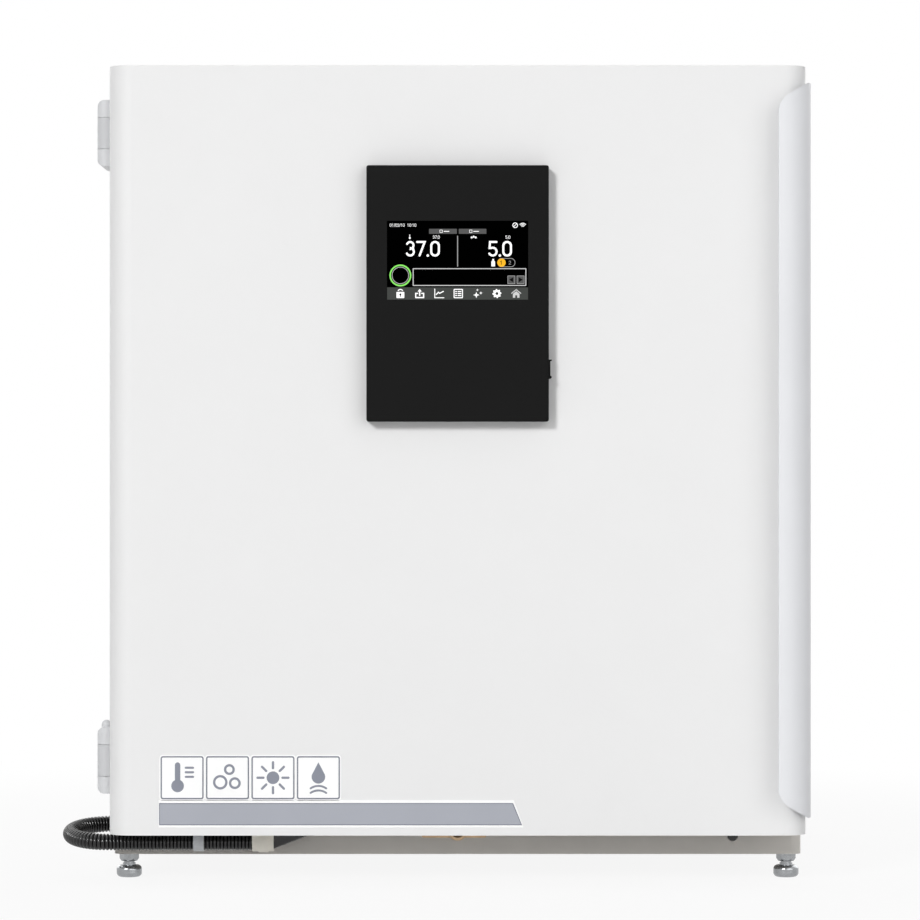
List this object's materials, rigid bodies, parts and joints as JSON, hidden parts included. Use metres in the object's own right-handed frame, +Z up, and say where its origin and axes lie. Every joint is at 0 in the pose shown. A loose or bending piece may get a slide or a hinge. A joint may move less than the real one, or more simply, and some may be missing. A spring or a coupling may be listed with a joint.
{
  "type": "carbon dioxide incubator",
  "caption": "Insulated white cabinet with a thick hinged door, touch panel, glass inner door and slotted shelves, for growing cell cultures in warm humid air.",
  "frame": {"origin": "middle of the footprint, on the surface the feet stand on", "axes": "+Z up, -Y out of the door's front, +X towards the grip side"},
  "size_m": [0.8342, 0.7824, 0.905],
  "materials": {
    "cabinet_paint": "fine satin powder coat",
    "door_paint": "fine satin powder coat",
    "base_paint": "satin powder coat",
    "stainless": "brushed",
    "polished_stainless": "bright annealed",
    "zinc": "zinc plated",
    "white_plastic": "moulded, fine texture",
    "grip_plastic": "moulded, satin gloss",
    "liner_plastic": "vacuum formed",
    "panel_black": "satin black",
    "screen_glass": "lit display",
    "board_green": "lacquered board",
    "black_plastic": "moulded",
    "cream_plastic": "moulded",
    "grey_plastic": "moulded",
    "bronze_cap": "dull bronze",
    "seal_rubber": "soft extruded",
    "silicone": "translucent silicone",
    "insulation": "insulation batts",
    "clear_glass": "toughened",
    "lamp_glass": "clear tube",
    "hinge_white": "white painted casting"
  },
  "bodies": {
    "cabinet": {"base_pan": "base_paint", "side_panels": "cabinet_paint", "top_panel": "cabinet_paint", "rear_panel": "cabinet_paint", "front_frame": "cabinet_paint", "inner_chamber": "polished_stainless", "insulation_jacket": "insulation", "service_cover": "bronze_cap", "base_plug": "black_plastic", "door_switch": "black_plastic", "hinge_brackets": "zinc", "hinge_pins": "zinc", "hinge_covers": "white_plastic", "bracket_screws": "zinc", "lock_nuts": "zinc", "conduit_loop": "black_plastic", "conduit_gland": "black_plastic", "glass_seal": "silicone", "glass_door_fittings": "stainless", "shelf_racks": "stainless", "duct_cover": "stainless", "fan_motor": "zinc", "uv_lamp": "lamp_glass", "chamber_sensors": "stainless", "port_tube": "white_plastic", "gas_inlets": "zinc", "rear_anchors": "zinc", "power_inlet": "black_plastic", "rear_electrics": "zinc"},
    "outer_door": {"door_skin": "door_paint", "door_caps": "door_paint", "door_insulation": "insulation", "door_liner": "liner_plastic", "door_gasket": "seal_rubber", "door_grip": "grip_plastic", "panel_housing": "panel_black", "panel_fascia": "panel_black", "screen_module": "screen_glass", "panel_board": "board_green", "hinge_leaves": "hinge_white", "conduit_run": "black_plastic", "conduit_clip": "grey_plastic", "conduit_end_fitting": "cream_plastic", "conduit_boot": "black_plastic"},
    "socket_flap": {"socket_cover": "panel_black"},
    "glass_door": {"glass_pane": "clear_glass", "glass_clamps": "stainless", "glass_latch_base": "white_plastic"},
    "glass_latch": {"glass_latch_lever": "white_plastic"},
    "lower_shelf": {"shelf_1": "stainless"},
    "middle_shelf": {"shelf_2": "stainless"},
    "upper_shelf": {"shelf_3": "stainless"},
    "pan": {"water_pan": "stainless"},
    "fan": {"fan_wheel": "grey_plastic"},
    "stopper": {"port_stopper": "silicone"},
    "switch_plunger": {"door_switch_plunger": "white_plastic"},
    "leveller_front_left": {"foot_front_left": "zinc"},
    "leveller_front_right": {"foot_front_right": "zinc"},
    "leveller_rear_left": {"foot_rear_left": "zinc"},
    "leveller_rear_right": {"foot_rear_right": "zinc"}
  },
  "joints": [
    {"name": "outer_door_hinge", "type": "hinge", "parent": "cabinet", "child": "outer_door", "pos_m": [-0.36591, -0.28277, 0.48], "axis": [0, 0, -1], "range_deg": [0, 120], "deforming": ["conduit_loop"]},
    {"name": "glass_door_hinge", "type": "hinge", "parent": "cabinet", "child": "glass_door", "pos_m": [-0.31741, -0.27477, 0.48], "axis": [0, 0, -1], "range_deg": [0, 110]},
    {"name": "glass_latch_turn", "type": "hinge", "parent": "glass_door", "child": "glass_latch", "pos_m": [0.33909, -0.26977, 0.492], "axis": [0, -1, 0], "range_deg": [0, 90]},
    {"name": "socket_cover_hinge", "type": "hinge", "parent": "outer_door", "child": "socket_flap", "pos_m": [0.12929, -0.37277, 0.5602], "axis": [0, 1, 0], "range_deg": [0, 110]},
    {"name": "fan_spin", "type": "hinge", "parent": "cabinet", "child": "fan", "pos_m": [0.02759, 0.26223, 0.727], "axis": [0, 1, 0], "continuous": true},
    {"name": "port_stopper_slide", "type": "slide", "parent": "cabinet", "child": "stopper", "axis": [0, 1, 0], "range_m": [0, 0.04]},
    {"name": "door_switch_press", "type": "slide", "parent": "cabinet", "child": "switch_plunger", "axis": [0, 1, 0], "range_m": [0, 0.003], "stiffness_N_per_m": 200, "springref_m": -0.002},
    {"name": "pan_slide", "type": "slide", "parent": "cabinet", "child": "pan", "axis": [0, -1, 0], "range_m": [0, 0.04]},
    {"name": "lower_shelf_slide", "type": "slide", "parent": "cabinet", "child": "lower_shelf", "axis": [0, -1, 0], "range_m": [0, 0.04]},
    {"name": "middle_shelf_slide", "type": "slide", "parent": "cabinet", "child": "middle_shelf", "axis": [0, -1, 0], "range_m": [0, 0.04]},
    {"name": "upper_shelf_slide", "type": "slide", "parent": "cabinet", "child": "upper_shelf", "axis": [0, -1, 0], "range_m": [0, 0.04]},
    {"name": "front_left_foot_screw", "type": "slide", "parent": "cabinet", "child": "leveller_front_left", "axis": [0, 0, -1], "range_m": [0, 0.012]},
    {"name": "front_right_foot_screw", "type": "slide", "parent": "cabinet", "child": "leveller_front_right", "axis": [0, 0, -1], "range_m": [0, 0.012]},
    {"name": "rear_left_foot_screw", "type": "slide", "parent": "cabinet", "child": "leveller_rear_left", "axis": [0, 0, -1], "range_m": [0, 0.012]},
    {"name": "rear_right_foot_screw", "type": "slide", "parent": "cabinet", "child": "leveller_rear_right", "axis": [0, 0, -1], "range_m": [0, 0.012]}
  ],
  "couplings": [
    {"joint": "glass_door_hinge", "follows": "outer_door_hinge", "ratio": 0.9}
  ]
}
